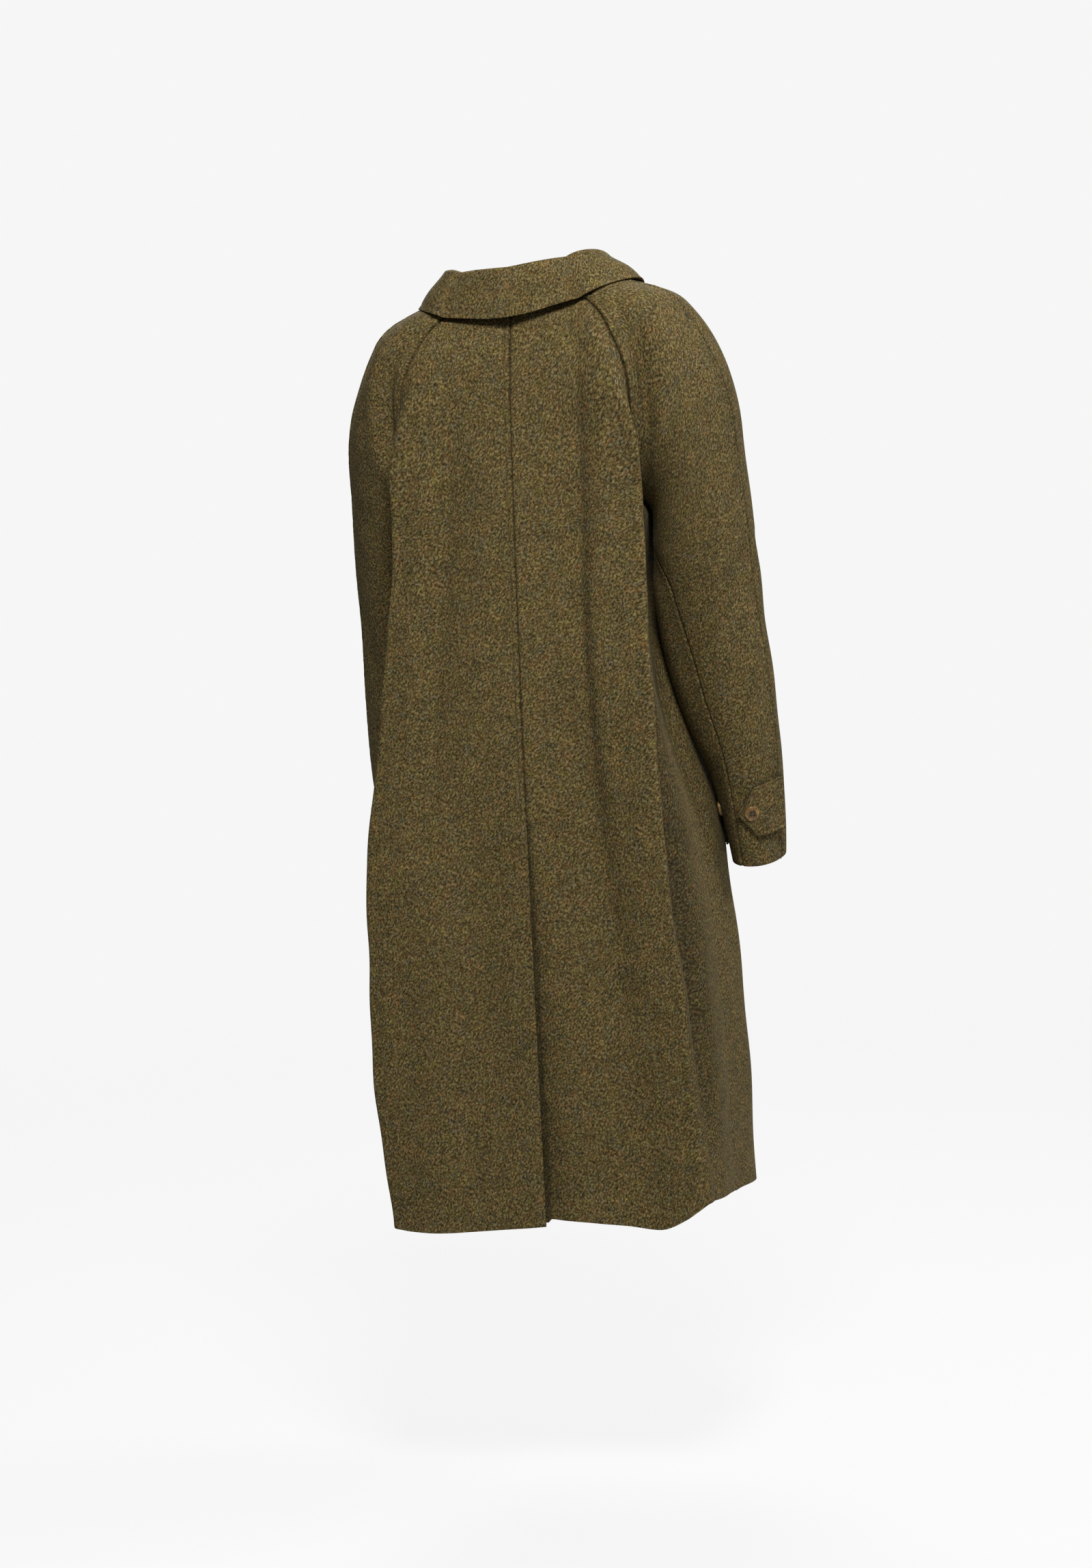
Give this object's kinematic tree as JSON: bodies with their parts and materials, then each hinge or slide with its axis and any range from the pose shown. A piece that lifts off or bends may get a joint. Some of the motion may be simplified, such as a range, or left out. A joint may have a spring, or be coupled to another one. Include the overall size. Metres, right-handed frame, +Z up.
{
  "type": "oversized coat",
  "caption": "Long oversized raglan wool coat in worn form: vented back, two-piece sleeves, buttoned cuff tabs, slanted welt pockets and a turned-down collar.",
  "frame": {"origin": "amid the neck, level with the tops of the shoulders where the coat hangs from its wearer", "axes": "+Z up, -Y to the coat's front, +X to the wearer's left"},
  "size_m": [0.5573, 0.3476, 1.2598],
  "materials": {
    "cloth": "napped olive wool tweed",
    "horn": "polished brown horn"
  },
  "bodies": {
    "root": {"back_left": "cloth", "back_right": "cloth", "front_left": "cloth", "front_right": "cloth", "sleeve_back_left": "cloth", "sleeve_back_right": "cloth", "sleeve_front_left": "cloth", "sleeve_front_right": "cloth", "collar": "cloth", "cuff_tab_left": "cloth", "cuff_tab_right": "cloth", "pocket_welt_left": "cloth", "pocket_welt_right": "cloth", "cuff_button_left": "horn", "cuff_button_right": "horn", "spare_button_left": "horn", "spare_button_right": "horn", "front_button_1": "horn", "front_button_2": "horn", "front_button_3": "horn", "front_button_4": "horn"}
  },
  "joints": []
}
